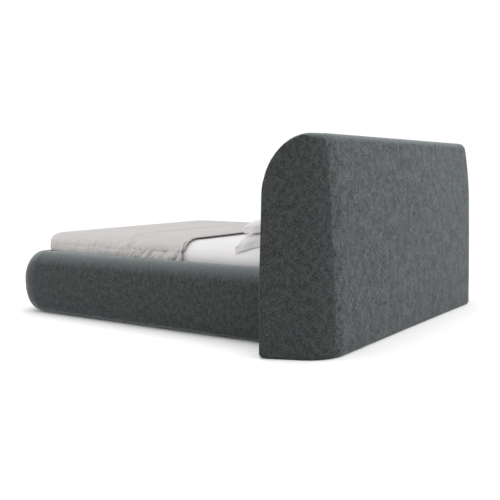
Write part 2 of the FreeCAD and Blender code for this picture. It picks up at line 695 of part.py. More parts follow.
mattress = soft_box("mattress", ("Dims.mattress_width", "Dims.mattress_length",
                                 "Dims.mattress_thick"),
                    ("-Dims.mattress_width / 2", MATTRESS_FOOT, BASE), size("mattress_radius"))
sheet_form, fitted_sheet = bed_cover(
    "fitted_sheet", "Dims.sheet_thick", f"{MATTRESS_TOP} + Dims.sheet_thick", BASE,
    f"{MATTRESS_HEAD} + Dims.sheet_thick", size("mattress_radius") + size("sheet_thick"),
    mattress, False)
SPREAD_TOP = f"({MATTRESS_TOP} + Dims.sheet_thick + Dims.bedspread_thick)"
SPREAD_GROW = "(Dims.sheet_thick + Dims.bedspread_thick)"
spread_radius = size("mattress_radius") + size("sheet_thick") + size("bedspread_thick")
spread_form, bedspread = bed_cover(
    "bedspread", SPREAD_GROW, SPREAD_TOP, f"{MATTRESS_TOP} - Dims.bedspread_drop",
    f"{MATTRESS_FOOT} + Dims.bedspread_length", spread_radius, sheet_form, True)
THROW_HEAD = f"({MATTRESS_FOOT} + Dims.bedspread_length)"
THROW_LIFT = 3                       # the throw's sides end this far above the rails
throw_whole = bed_cover(
    "throw_whole", f"({SPREAD_GROW} + Dims.throw_thick)", f"{SPREAD_TOP} + Dims.throw_thick",
    f"Dims.rail_top + {THROW_LIFT}", THROW_HEAD, spread_radius + size("throw_thick"), spread_form,
    True)[1]
throw_span = box("throw_span", (BEYOND, "Dims.throw_width", BEYOND),
                 (-BEYOND / 2, f"{THROW_HEAD} - Dims.throw_width", 0))
throw = common("throw", throw_whole, throw_span)

PILLOW_BASE = f"({MATTRESS_TOP} + Dims.sheet_thick)"
PILLOW_ROUND = 0.45                  # edge radius, as a share of the loft


def pillow(name, level):
    """A right-hand pillow: level 0 lies on the sheet and level 1 on top of it."""
    return soft_box(name, ("Dims.pillow_width", "Dims.pillow_length", "Dims.pillow_loft"),
                    (f"Dims.pillow_side - {level} * Dims.pillow_shift",
                     f"Dims.pillow_gap + {level} * Dims.pillow_setback",
                     f"{PILLOW_BASE} + {level} * Dims.pillow_loft"),
                    size("pillow_loft") * PILLOW_ROUND)


pillow_lower_right = pillow("pillow_lower_right", 0)
pillow_upper_right = pillow("pillow_upper_right", 1)
pillow_lower_left = mirrored("pillow_lower_left", pillow_lower_right)
pillow_upper_left = mirrored("pillow_upper_left", pillow_upper_right)

# ---------------------------------------------------------------- check and write
NODES = (
    headboard_back_ply, headboard_front_ply, headboard_plates, headboard_studs,
    wing_frame_right, wing_frame_left,
    headboard_back_foam, headboard_front_foam, headboard_back_cover, headboard_front_cover,
    side_rail_board_right, side_rail_board_left, foot_rail_board,
    side_rail_foam_right, side_rail_foam_left, foot_rail_foam,
    side_rail_cover_right, side_rail_cover_left, foot_rail_cover,
    headboard_brackets, foot_rail_brackets, head_bolts, foot_bolts,
    slat_ledge_right, slat_ledge_left, centre_beam, beam_legs, beam_leg_pads, beam_hangers,
    slats_right, slats_left, slat_holders, glides,
    mattress, fitted_sheet, bedspread, throw,
    pillow_lower_right, pillow_lower_left, pillow_upper_right, pillow_upper_left,
)
doc.recompute()
for item in doc.Objects:
    if "Invalid" in item.State or "Error" in item.State:
        raise RuntimeError(f"{item.Label} failed: {item.State}")
for node in NODES:
    if node.Shape.isNull() or not node.Shape.isValid():
        raise RuntimeError(f"{node.Label} has no valid shape")

os.makedirs("parts", exist_ok=True)
for node in NODES:
    node.Shape.exportStep(f"parts/{node.Label}.step")
    print(f"{node.Label}: {len(node.Shape.Solids)} solids, {node.Shape.Volume / 1e6:.3f} litres")
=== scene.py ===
import json
import math

import bmesh
import bpy
import numpy as np
import mathutils.noise
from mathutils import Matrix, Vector


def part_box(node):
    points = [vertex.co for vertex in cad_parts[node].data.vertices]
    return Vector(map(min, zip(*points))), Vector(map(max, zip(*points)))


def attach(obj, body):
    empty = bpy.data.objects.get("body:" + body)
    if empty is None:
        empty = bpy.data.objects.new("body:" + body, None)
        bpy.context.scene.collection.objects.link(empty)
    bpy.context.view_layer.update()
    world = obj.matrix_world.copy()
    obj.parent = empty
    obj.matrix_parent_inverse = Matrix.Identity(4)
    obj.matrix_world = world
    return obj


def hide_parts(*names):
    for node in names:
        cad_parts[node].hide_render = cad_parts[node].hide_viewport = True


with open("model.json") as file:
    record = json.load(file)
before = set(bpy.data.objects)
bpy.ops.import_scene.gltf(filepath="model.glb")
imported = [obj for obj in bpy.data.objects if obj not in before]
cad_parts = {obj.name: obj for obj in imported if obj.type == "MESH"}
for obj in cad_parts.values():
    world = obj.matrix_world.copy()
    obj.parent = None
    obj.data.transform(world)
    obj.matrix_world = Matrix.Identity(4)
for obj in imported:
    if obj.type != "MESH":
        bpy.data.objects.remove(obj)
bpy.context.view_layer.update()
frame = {"nodes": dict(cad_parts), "record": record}
bpy.ops.object.select_all(action="DESELECT")

# ---------------------------------------------------------------- studio
# A white room: a pale floor under an even white sky, with one broad soft lamp over the bed, one
# behind the headboard and a weak one beside the foot.  The camera stands behind the headboard's
# near corner.
VIEW_AZIMUTH = math.radians(123.7)
VIEW_TILT = math.radians(5.70)
EYE = Vector((4.427, 2.954, 0.921))

camera_data = bpy.data.cameras.new("camera")
camera_data.lens = 57.6
camera_data.sensor_width = 36.0
camera = bpy.data.objects.new("camera", camera_data)
bpy.context.scene.collection.objects.link(camera)
camera.location = EYE
camera.rotation_euler = (math.pi / 2 - VIEW_TILT, 0, VIEW_AZIMUTH)
bpy.context.scene.camera = camera
bpy.context.scene.view_settings.view_transform = "Standard"

sky = bpy.data.worlds.new("sky")
bpy.context.scene.world = sky
sky.use_nodes = True
sky.node_tree.nodes["Background"].inputs["Color"].default_value = (1.0, 1.0, 1.0, 1)
sky.node_tree.nodes["Background"].inputs["Strength"].default_value = 1.04


def soft_lamp(name, place, target, side, power):
    """A square lamp at place that faces target."""
    lamp_data = bpy.data.lights.new(name, "AREA")
    lamp_data.shape = "SQUARE"
    lamp_data.size = side
    lamp_data.energy = power
    lamp = bpy.data.objects.new(name, lamp_data)
    bpy.context.scene.collection.objects.link(lamp)
    lamp.location = place
    lamp.rotation_euler = (Vector(target) - Vector(place)).to_track_quat("-Z", "Y").to_euler()


soft_lamp("overhead", (0.3, 0.0, 4.2), (0, 0, 0), 4.0, 60)
soft_lamp("behind", (-0.8, 4.9, 2.4), (0, 1.1, 0.5), 2.5, 75)
soft_lamp("beside", (3.2, -3.6, 1.5), (0.9, -0.4, 0.3), 2.0, 30)

bpy.ops.mesh.primitive_plane_add(size=60)
floor = bpy.context.object
floor.name = "floor"
paper = bpy.data.materials.new("white_paper")
paper.use_nodes = True
paper_shader = paper.node_tree.nodes["Principled BSDF"]
paper_shader.inputs["Base Color"].default_value = (0.985, 0.985, 0.985, 1)
paper_shader.inputs["Roughness"].default_value = 0.9
paper_shader.inputs["Specular IOR Level"].default_value = 0.0
floor.data.materials.append(paper)


# ---------------------------------------------------------------- upholstery fabric
# A charcoal woven chenille: heathered warp threads with light and dark flecks, a fine weft
# across them, and a short nap that catches light at grazing angles.
def new_group(name, inputs, outputs):
    """An empty shader group with named sockets; returns the tree, its input and its output."""
    tree = bpy.data.node_groups.new(name, "ShaderNodeTree")
    for label, kind, value in inputs:
        socket = tree.interface.new_socket(name=label, in_out="INPUT", socket_type=kind)
        if value is not None:
            socket.default_value = value
    for label, kind in outputs:
        tree.interface.new_socket(name=label, in_out="OUTPUT", socket_type=kind)
    return tree, tree.nodes.new("NodeGroupInput"), tree.nodes.new("NodeGroupOutput")


def add_node(tree, kind, settings=None, **inputs):
    """A node with its properties set, and its inputs set to a value or linked from a socket."""
    node = tree.nodes.new(kind)
    for label, value in (settings or {}).items():
        setattr(node, label, value)
    for label, value in inputs.items():
        key = int(label[1:]) if label[0] == "i" and label[1:].isdigit() else label.replace("_", " ")
        socket = node.inputs[key]
        if isinstance(value, bpy.types.NodeSocket):
            tree.links.new(value, socket)
        else:
            socket.default_value = value
    return node


def maths(tree, operation, a, b=0.0):
    return add_node(tree, "ShaderNodeMath", {"operation": operation}, i0=a, i1=b).outputs[0]


def stretched(tree, vector, scale):
    """The vector with each axis multiplied by scale."""
    return add_node(tree, "ShaderNodeVectorMath", {"operation": "MULTIPLY"},
                    i0=vector, i1=scale).outputs[0]


def noise(tree, vector, scale, detail=2.0, roughness=0.5):
    return add_node(tree, "ShaderNodeTexNoise", None, Vector=vector, Scale=scale, Detail=detail,
                    Roughness=roughness).outputs["Fac"]


def remap(tree, value, low, high, out_low=0.0, out_high=1.0):
    return add_node(tree, "ShaderNodeMapRange", None, Value=value, From_Min=low, From_Max=high,
                    To_Min=out_low, To_Max=out_high).outputs[0]


def mix_colour(tree, factor, a, b):
    node = add_node(tree, "ShaderNodeMix", {"data_type": "RGBA"})
    for index, value in ((0, factor), (6, a), (7, b)):
        if isinstance(value, bpy.types.NodeSocket):
            tree.links.new(value, node.inputs[index])
        else:
            node.inputs[index].default_value = value
    return node.outputs[2]


COLOUR, VALUE, VECTOR = "NodeSocketColor", "NodeSocketFloat", "NodeSocketVector"


WARP_SHARE, WEFT_SHARE, CLOUD_SHARE = 0.50, 0.22, 0.28      # of the heathered pattern
THREAD_RELIEF = 0.0012                   # metres that a fabric's bump stands for


def chenille_group():
    """Colour, roughness and height of the woven charcoal cloth from coordinates in metres; the
    colour carries a painted highlight where the cloth faces up.
    """
    tree, given, made = new_group(
        "woven_chenille",
        [("Cloth", VECTOR, None), ("Dark", COLOUR, (0.03, 0.03, 0.03, 1)),
         ("Light", COLOUR, (0.1, 0.1, 0.1, 1)), ("Crown", COLOUR, (0.1, 0.1, 0.1, 1)),
         ("Grain", VALUE, 1.0), ("Pitch", VALUE, 420.0)],
        [("Colour", COLOUR), ("Roughness", VALUE), ("Height", VALUE)])
    cloth = given.outputs["Cloth"]
    scaled = add_node(tree, "ShaderNodeVectorMath", {"operation": "SCALE"}, Vector=cloth,
                      Scale=given.outputs["Grain"]).outputs[0]
    warp_streaks = noise(tree, stretched(tree, scaled, (240.0, 85.0, 1.0)), 1.0, 3.0, 0.6)
    weft_streaks = noise(tree, stretched(tree, scaled, (80.0, 250.0, 1.0)), 1.0, 2.0, 0.5)
    clouds = noise(tree, stretched(tree, scaled, (40.0, 26.0, 1.0)), 1.0, 3.0, 0.6)
    fleck = maths(tree, "ADD",
                  maths(tree, "MULTIPLY", remap(tree, warp_streaks, 0.36, 0.64), WARP_SHARE),
                  maths(tree, "MULTIPLY", remap(tree, weft_streaks, 0.36, 0.64), WEFT_SHARE))
    fleck = maths(tree, "ADD", fleck,
                  maths(tree, "MULTIPLY", remap(tree, clouds, 0.36, 0.64), CLOUD_SHARE))
    colour = mix_colour(tree, fleck, given.outputs["Dark"], given.outputs["Light"])
    # Painted highlight: the colour is mixed towards a paler colour where the surface faces up.
    facing = add_node(tree, "ShaderNodeNewGeometry").outputs["Normal"]
    upward = add_node(tree, "ShaderNodeSeparateXYZ", None, Vector=facing).outputs[2]
    colour = mix_colour(tree, remap(tree, upward, 0.35, 1.0), colour, given.outputs["Crown"])
    parts = add_node(tree, "ShaderNodeSeparateXYZ", None, Vector=cloth)
    pitch = given.outputs["Pitch"]
    across = maths(tree, "SINE", maths(tree, "MULTIPLY", parts.outputs[0],
                                       maths(tree, "MULTIPLY", pitch, 2 * math.pi)))
    along = maths(tree, "SINE", maths(tree, "MULTIPLY", parts.outputs[1],
                                      maths(tree, "MULTIPLY", pitch, 1.4 * math.pi)))
    weave = maths(tree, "MULTIPLY", across, along)
    height = maths(tree, "ADD", maths(tree, "MULTIPLY", weave, 0.35), fleck)
    tree.links.new(colour, made.inputs["Colour"])
    tree.links.new(remap(tree, fleck, 0.0, 1.0, 0.92, 0.78), made.inputs["Roughness"])
    tree.links.new(height, made.inputs["Height"])
    return tree


CHENILLE = chenille_group()


def cloth_material(name, group, bump, sheen, sheen_roughness, coordinates="UV", **values):
    """A Principled fabric fed by a cloth group on the piece's own coordinates."""
    material = bpy.data.materials.new(name)
    material.use_nodes = True
    tree = material.node_tree
    shader = tree.nodes["Principled BSDF"]
    source = add_node(tree, "ShaderNodeTexCoord").outputs[coordinates]
    weave = add_node(tree, "ShaderNodeGroup", {"node_tree": group}, Cloth=source, **values)
    raised = add_node(tree, "ShaderNodeBump", None, Strength=bump, Distance=THREAD_RELIEF,
                      Height=weave.outputs["Height"])
    tree.links.new(weave.outputs["Colour"], shader.inputs["Base Color"])
    tree.links.new(weave.outputs["Roughness"], shader.inputs["Roughness"])
    tree.links.new(raised.outputs["Normal"], shader.inputs["Normal"])
    shader.inputs["Specular IOR Level"].default_value = 0.15
    shader.inputs["Sheen Weight"].default_value = sheen
    shader.inputs["Sheen Roughness"].default_value = sheen_roughness
    shader.inputs["Sheen Tint"].default_value = (0.86, 0.97, 1.0, 1)
    return material


# Painted highlight: level, upward-facing cloth is painted paler, standing in for the sheen and
# overhead light on the tops. The back, whose nap is brushed sideways, gets a paler copy of the
# cloth: painted sheen for how the back looks paler at a slant.
PAINTED_TOP_HIGHLIGHT = (0.150, 0.172, 0.172, 1)
CHARCOAL = cloth_material("charcoal_chenille", CHENILLE, 0.6, 0.80, 0.20, Crown=PAINTED_TOP_HIGHLIGHT,
                          Dark=(0.004, 0.005, 0.005, 1), Light=(0.076, 0.082, 0.083, 1))
# A paler copy of the charcoal cloth for the back panel: painted sheen for the light the back
# catches at a slant.
PAINTED_SHEEN_CHARCOAL = cloth_material("painted_sheen_chenille", CHENILLE, 0.5, 0.42, 0.20, Crown=PAINTED_TOP_HIGHLIGHT,
                                  Grain=0.5, Dark=(0.008, 0.009, 0.009, 1),
                                  Light=(0.116, 0.128, 0.130, 1))

# ---------------------------------------------------------------- headboard covers
# The headboard's skin wraps a padded box whose ends turn forward as flared wings.  It is sewn
# from a back panel and a front piece that meet in a seam just before each wing.
BOARD_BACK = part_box("headboard_back_cover")[1][1]
BOARD_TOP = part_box("headboard_back_cover")[1][2]
BOARD_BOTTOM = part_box("headboard_back_cover")[0][2]
BOARD_HEIGHT = BOARD_TOP - BOARD_BOTTOM
SKIRT = 0.0                              # the cloth reaches down to hide the glides
BOARD_DEPTH = 0.140
FLARE = math.radians(26)
TURN_X, TURN_RADIUS = 0.922, 0.210
WING_RUN = 0.209
WING_THINNER = 0.030                     # wings are this much thinner than the middle
WING_CORNER = 0.248                      # rounded top front corner of a wing
CORNER_FALL = 0.305                      # how far down a wing's front its rounding reaches
EDGE_ROUND = 0.022
BACK_ROUND = 0.038                       # softer edge along the top of the back
LOW_ROUND = 0.010                        # tighter edge along the bottom
LOW_SWELL = 0.016                        # how far the back stands out near the floor
LEAN, LEAN_FROM = 0.038, 0.70            # how far the back leans in, and the height it starts at
WING_TAPER = 0.010                       # how far a wing's front edge leans back on its way up
UNEVEN = 0.0022                          # height of the slow waves in the padding
SKIN_VOXEL = 0.0100
NEAR_EDGE = 0.001                        # how close to a face's plane counts as on it
SEAM_HALF = 0.979                        # from the middle, measured along the cloth
SEAM_WIDTH, SEAM_DRAW = 0.006, 0.003     # the seam's dip: half its width, and its depth
SEAM_LEAN = 0.040                        # how far the seam leans outwards at the top
TOP_SEAM_DEPTH = 0.075                   # from the back face to the seam along the top
ARC_LENGTH = TURN_RADIUS * (math.pi / 2 - FLARE)
FLAT_LENGTH = 2 * (TURN_X + ARC_LENGTH + WING_RUN)


def apply_modifier(piece, name, kind, **settings):
    """Add a modifier to piece and apply it."""
    modifier = piece.modifiers.new(name, kind)
    for label, value in settings.items():
        setattr(modifier, label, value)
    bpy.context.view_layer.objects.active = piece
    bpy.ops.object.modifier_apply(modifier=name)


def vertices_of(piece):
    """The vertices as an array of X, Y, Z rows."""
    places = np.empty(len(piece.data.vertices) * 3)
    piece.data.vertices.foreach_get("co", places)
    return places.reshape(-1, 3)


def directions_of(piece):
    """The outward direction at every vertex."""
    normals = np.empty(len(piece.data.vertices) * 3)
    piece.data.vertices.foreach_get("normal", normals)
    return normals.reshape(-1, 3)


def move_vertices(piece, places):
    piece.data.vertices.foreach_set("co", places.ravel())
    piece.data.update()


def edit_mode(piece):
    bpy.ops.object.select_all(action="DESELECT")
    piece.select_set(True)
    bpy.context.view_layer.objects.active = piece
    bpy.ops.object.mode_set(mode="EDIT")
    bpy.ops.mesh.select_all(action="DESELECT")
    return bmesh.from_edit_mesh(piece.data)


def object_mode(piece):
    bpy.ops.object.mode_set(mode="OBJECT")
    piece.select_set(False)


def select_where(piece, mesh, kind, test):
    """Select the vertices, edges or faces whose middle passes test."""
    bpy.ops.mesh.select_mode(type={"verts": "VERT", "edges": "EDGE", "faces": "FACE"}[kind])
    for item in getattr(mesh, kind):
        if kind == "verts":
            middle = item.co
        elif kind == "edges":
            middle = (item.verts[0].co + item.verts[1].co) / 2
        else:
            middle = item.calc_center_median()
        item.select_set(bool(test(item, middle)))
    mesh.select_flush_mode()
    bmesh.update_edit_mesh(piece.data)


def smoothstep(values, low, high):
    ramp = np.clip((values - low) / (high - low), 0, 1)
    return ramp * ramp * (3 - 2 * ramp)


def box_block(name, low, high):
    """A box between two corners, its place in its mesh."""
    low, high = Vector(low), Vector(high)
    bpy.ops.mesh.primitive_cube_add(size=1, location=(low + high) / 2)
    piece = bpy.context.object
    piece.name = name
    piece.scale = high - low
    bpy.ops.object.transform_apply(location=True, rotation=True, scale=True)
    piece.select_set(False)
    return piece


def set_uvs(piece, values):
    """Give every loop its UV, in the piece's only UV layer."""
    layers = piece.data.uv_layers
    layer = layers[0] if layers else layers.new(name="cloth")
    layer.data.foreach_set("uv", values.ravel())


def unwrap_by_axis(piece):
    """UVs in metres, each face projected along its main axis."""
    mesh = piece.data
    normals = np.empty(len(mesh.polygons) * 3)
    mesh.polygons.foreach_get("normal", normals)
    corners = np.empty(len(mesh.polygons), dtype=np.int32)
    mesh.polygons.foreach_get("loop_total", corners)
    axis = np.repeat(np.abs(normals.reshape(-1, 3)).argmax(axis=1), corners)
    indices = np.empty(len(mesh.loops), dtype=np.int32)
    mesh.loops.foreach_get("vertex_index", indices)
    places = vertices_of(piece)[indices]
    across = np.where(axis == 0, places[:, 1], places[:, 0])
    upwards = np.where(axis == 2, places[:, 1], places[:, 2])
    set_uvs(piece, np.stack([across, upwards], axis=1))


def headboard_line():
    """The back's outer line in plan, from the left wing's front edge to the right wing's."""
    steps = 24
    centre_y = BOARD_BACK - TURN_RADIUS
    right = []
    for step in range(steps + 1):
        angle = math.pi / 2 - (math.pi / 2 - FLARE) * step / steps
        right.append((TURN_X + TURN_RADIUS * math.cos(angle),
                      centre_y + TURN_RADIUS * math.sin(angle)))
    end_x, end_y = right[-1]
    right.append((end_x + WING_RUN * math.sin(FLARE), end_y - WING_RUN * math.cos(FLARE)))
    return [(-x, y) for x, y in reversed(right)] + right


def path_curve(name, points):
    """A flat open curve through points."""
    curve_data = bpy.data.curves.new(name, "CURVE")
    curve_data.dimensions = "2D"
    line = curve_data.splines.new("POLY")
    line.points.add(len(points) - 1)
    for point, (x, y) in zip(line.points, points):
        point.co = (x, y, 0, 1)
    curve = bpy.data.objects.new(name, curve_data)
    bpy.context.scene.collection.objects.link(curve)
    return curve


def bend_along(piece, points):
    """Bend piece, which lies along X, to follow the line through points."""
    curve = path_curve("bend_line", points)
    apply_modifier(piece, "bend", "CURVE", object=curve, deform_axis="POS_X")
    bpy.data.objects.remove(curve)


def bevel_where(piece, test, width, segments):
    """Round the edges of piece, which is in edit mode, that pass test."""
    select_where(piece, bmesh.from_edit_mesh(piece.data), "edges", test)
    bpy.ops.mesh.bevel(offset=width, offset_type="OFFSET", segments=segments, affect="EDGES")


def padded_headboard():
    """The whole skin, modelled unrolled as a padded slab, to be bent round its plan line later."""
    slab = box_block("headboard_skin", (0, -BOARD_DEPTH, SKIRT), (FLAT_LENGTH, 0, BOARD_TOP))

    def at_top(at):
        return at.z > BOARD_TOP - NEAR_EDGE

    def at_foot(at):
        return at.z < SKIRT + NEAR_EDGE

    def at_wing_edge(at):
        return min(at.x, FLAT_LENGTH - at.x) < NEAR_EDGE

    edit_mode(slab)
    bevel_where(slab, lambda edge, at: at_top(at) and at_wing_edge(at), WING_CORNER, 20)
    bevel_where(slab, lambda edge, at: at_foot(at) and at_wing_edge(at), EDGE_ROUND, 4)
    bevel_where(slab, lambda edge, at: at_foot(at), LOW_ROUND, 3)
    bevel_where(slab, lambda edge, at: at_top(at) and at.y > -NEAR_EDGE, BACK_ROUND, 6)
    object_mode(slab)
    apply_modifier(slab, "rim", "BEVEL", width=EDGE_ROUND, segments=4, limit_method="ANGLE",
                   angle_limit=math.radians(60))
    apply_modifier(slab, "even", "REMESH", mode="VOXEL", voxel_size=SKIN_VOXEL)
    apply_modifier(slab, "settle", "SMOOTH", factor=0.5, iterations=4)
    unwrap_by_axis(slab)
    places = vertices_of(slab)
    from_end = np.minimum(places[:, 0], FLAT_LENGTH - places[:, 0])
    on_back = smoothstep(places[:, 1], -BOARD_DEPTH, 0)
    # The back leans in at its top and swells near the floor, but not where the wings turn.
    rise = np.clip((places[:, 2] - LEAN_FROM) / (BOARD_TOP - LEAN_FROM), 0, 1)
    places[:, 1] -= LEAN * rise ** 2 * on_back * smoothstep(from_end, 0.10, 0.36)
    swell = 1 - smoothstep(places[:, 2], 0.10, 0.95)
    places[:, 1] += LOW_SWELL * swell * on_back * smoothstep(from_end, 0.0, 0.36)
    # The wing's round corner is drawn out from a quarter circle to a taller ellipse.
    round_fall = np.clip(1 - (BOARD_TOP - places[:, 2]) / CORNER_FALL, 0, 1)
    round_even = np.clip(1 - (BOARD_TOP - places[:, 2]) / WING_CORNER, 0, 1)
    draw_in = WING_CORNER * (np.sqrt(1 - round_even ** 2) - np.sqrt(1 - round_fall ** 2))
    draw_in += WING_TAPER * smoothstep(places[:, 2], 0.30, 0.85)
    near_end = 1 - smoothstep(from_end, 0.05, 0.45)
    places[:, 0] += np.sign(FLAT_LENGTH / 2 - places[:, 0]) * draw_in * near_end
    wing = 1 - smoothstep(from_end, WING_RUN, WING_RUN + ARC_LENGTH)
    places[:, 1] += WING_THINNER * wing * (1 - on_back)
    puff = UNEVEN * (np.sin(places[:, 0] * 3.1 + 0.6) * np.sin(places[:, 2] * 4.3 + 1.0)
                     + 0.6 * np.sin(places[:, 0] * 7.3 + 2.0) * np.sin(places[:, 2] * 6.1))
    places[:, 1] += puff * (2 * on_back - 1)
    move_vertices(slab, places)
    return slab


def cut_along(piece, point, normal):
    """Cut new edges into piece where a plane crosses it."""
    edit_mode(piece)
    bpy.ops.mesh.select_all(action="SELECT")
    bpy.ops.mesh.bisect(plane_co=point, plane_no=normal)
    object_mode(piece)


headboard_skin = padded_headboard()
seam_point = {side: Vector((FLAT_LENGTH / 2 + side * SEAM_HALF, 0, BOARD_BOTTOM))
              for side in (-1, 1)}
seam_normal = {side: Vector((side * BOARD_HEIGHT, 0, -SEAM_LEAN)).normalized()
               for side in (-1, 1)}
for side in (-1, 1):
    cut_along(headboard_skin, seam_point[side], seam_normal[side])
rim_seam = Vector((0, -TOP_SEAM_DEPTH, 0))
cut_along(headboard_skin, rim_seam, Vector((0, 1, 0)))


def seam_distance(places, side):
    """How far each place lies outside the seam's plane on one side."""
    return (places - np.array(seam_point[side])) @ np.array(seam_normal[side])


# The seam draws the cloth in by a few millimetres along its line.
places = vertices_of(headboard_skin)
normals = directions_of(headboard_skin)
behind = smoothstep(places[:, 1], -TOP_SEAM_DEPTH - 0.01, -TOP_SEAM_DEPTH + 0.02)
for side in (-1, 1):
    draw = np.exp(-(seam_distance(places, side) / SEAM_WIDTH) ** 2) * behind
    places -= normals * (SEAM_DRAW * draw)[:, None]
move_vertices(headboard_skin, places)


def on_back_panel(face, at):
    """Whether a face of the unrolled skin belongs to the back panel."""
    inside = all((at - seam_point[side]).dot(seam_normal[side]) < 0 for side in (-1, 1))
    return inside and at.y > -TOP_SEAM_DEPTH


mesh = edit_mode(headboard_skin)
select_where(headboard_skin, mesh, "faces", on_back_panel)
bpy.ops.mesh.separate(type="SELECTED")
object_mode(headboard_skin)
headboard_back = next(o for o in bpy.context.selected_objects if o != headboard_skin)
headboard_back.name = "headboard_back_panel"
headboard_skin.name = "headboard_wings_and_front"
bpy.ops.object.select_all(action="DESELECT")
for panel in (headboard_back, headboard_skin):
    bend_along(panel, headboard_line())


def finish_cover(piece, material, nodes):
    """Shade, colour and register a fabric piece on the bed."""
    piece.data.polygons.foreach_set("use_smooth", [True] * len(piece.data.polygons))
    piece.data.materials.clear()
    piece.data.materials.append(material)
    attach(piece, "root")
    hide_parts(*nodes)


# The back panel wears the paler copy of the cloth, a painted sheen.
finish_cover(headboard_back, PAINTED_SHEEN_CHARCOAL, ["headboard_back_cover", "headboard_back_foam"])
finish_cover(headboard_skin, CHARCOAL, ["headboard_front_cover", "headboard_front_foam"])

# ---------------------------------------------------------------- rail covers
# Each rail is a timber board behind a deep foam bolster of half-elliptical section.  The skins of
# the side rails and the foot rail meet in a mitred seam at the rounded foot corners.
RAIL_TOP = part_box("foot_rail_cover")[1][2]
RAIL_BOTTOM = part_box("foot_rail_cover")[0][2] - 0.005       # the cloth hides the glides
RAIL_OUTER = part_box("side_rail_cover_right")[1][0]
RAIL_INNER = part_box("side_rail_cover_right")[0][0]
RAIL_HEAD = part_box("side_rail_cover_right")[1][1]
FOOT_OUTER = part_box("foot_rail_cover")[0][1]
RAIL_DEPTH = RAIL_OUTER - RAIL_INNER
BULGE = 0.106                            # the half ellipse stands this far out of the rail
TUCK = 0.030                             # how far the skin turns down inside the rail
INNER_LIP = 0.004                        # how far it dips on its way to that turn
MEAN_RADIUS = 0.158                      # of the bolster's section, for the weave's scale
CORNER = RAIL_DEPTH                      # plan radius of the foot corners at the widest line
SIDE_RUN = RAIL_HEAD - (FOOT_OUTER + CORNER)
FOOT_RUN = 2 * (RAIL_OUTER - CORNER)
MITRE = CORNER * math.pi / 4
RAIL_STEP = 0.024
LOW_FULLNESS = 2.5                       # over 2, so the lower half is squarer than an ellipse
FOOT_SWELL = 0.054                       # the foot bolster is filled this much fuller


def rail_line():
    """The rails' widest line in plan, from the left rail's head end round the foot to the right."""
    steps = 16
    half = RAIL_OUTER - CORNER
    points = [(-RAIL_OUTER, RAIL_HEAD)]
    for centre_x, start in ((-half, math.pi), (half, 1.5 * math.pi)):
        for step in range(steps + 1):
            angle = start + math.pi / 2 * step / steps
            points.append((centre_x + CORNER * math.cos(angle),
                           FOOT_OUTER + CORNER + CORNER * math.sin(angle)))
    points.append((RAIL_OUTER, RAIL_HEAD))
    return points


def rail_skin(name, start, end):
    """A bolster skin modelled straight along X from start to end, to be bent round the plan line
    later.
    """
    count = max(2, round((end - start) / RAIL_STEP))
    step = (end - start) / count
    bpy.ops.mesh.primitive_circle_add(vertices=64, radius=1, rotation=(0, math.pi / 2, 0),
                                      location=(0, 0, 0))
    piece = bpy.context.object
    piece.name = name
    bpy.ops.object.transform_apply(rotation=True)
    piece.scale = (1, BULGE, (RAIL_TOP - RAIL_BOTTOM) / 2)
    piece.location = (start, BULGE, (RAIL_TOP + RAIL_BOTTOM) / 2)
    bpy.ops.object.transform_apply(location=True, rotation=True, scale=True)
    mesh = edit_mode(piece)
    select_where(piece, mesh, "verts", lambda vert, at: at.y > BULGE + 0.0005)
    bpy.ops.mesh.delete(type="VERT")
    for level, direction in ((RAIL_TOP, -1), (RAIL_BOTTOM, 1)):
        mesh = bmesh.from_edit_mesh(piece.data)
        select_where(piece, mesh, "verts",
                     lambda vert, at: abs(at.z - level) < 0.0005)
        inwards = RAIL_DEPTH - BULGE
        for move in ((0, inwards * 0.55, 0), (0, inwards * 0.35, 0),
                     (0, inwards * 0.10, direction * INNER_LIP),
                     (0, 0, direction * TUCK * 0.3), (0, 0, direction * TUCK * 0.7)):
            bpy.ops.mesh.extrude_region_move(TRANSFORM_OT_translate={"value": move})
    bpy.ops.mesh.select_all(action="SELECT")
    bpy.ops.mesh.extrude_region_move(TRANSFORM_OT_translate={"value": (step, 0, 0)})
    object_mode(piece)
    apply_modifier(piece, "run", "ARRAY", count=count, use_merge_vertices=True,
                   merge_threshold=0.0005)
    apply_modifier(piece, "finer", "SUBSURF", levels=1, render_levels=1)
    return piece


def rail_uvs(piece):
    """UVs in metres: along the rail, and round its section."""
    places = vertices_of(piece)
    around = np.arctan2(places[:, 2] - (RAIL_TOP + RAIL_BOTTOM) / 2, BULGE - places[:, 1])
    inner = np.maximum(places[:, 1] - BULGE, 0) * np.sign(around)
    loops = np.empty(len(piece.data.loops), dtype=np.int32)
    piece.data.loops.foreach_get("vertex_index", loops)
    set_uvs(piece, np.stack([places[loops, 0], (around * MEAN_RADIUS + inner)[loops]], axis=1))


def soften_rail(piece):
    """A fuller lower half, and the slight unevenness of a hand-filled bolster."""
    places = vertices_of(piece)
    middle = (RAIL_TOP + RAIL_BOTTOM) / 2
    low = np.clip((middle - places[:, 2]) / (middle - RAIL_BOTTOM), 0, 1)
    fuller = BULGE * ((1 - low ** LOW_FULLNESS) ** (1 / LOW_FULLNESS) - np.sqrt(1 - low ** 2))
    places[:, 1] -= fuller * (places[:, 1] < BULGE)
    swell = (0.0025 * np.sin(places[:, 0] * 4.7 + 0.4) + 0.0018 * np.sin(places[:, 0] * 11.3
             + places[:, 2] * 9.0))
    outward = np.clip((BULGE - places[:, 1]) / BULGE, 0, 1)
    places[:, 1] += np.abs(swell) * outward
    move_vertices(piece, places)


def face_outwards(piece):
    """Turn every face of piece outwards."""
    edit_mode(piece)
    bpy.ops.mesh.select_all(action="SELECT")
    bpy.ops.mesh.normals_make_consistent(inside=False)
    object_mode(piece)


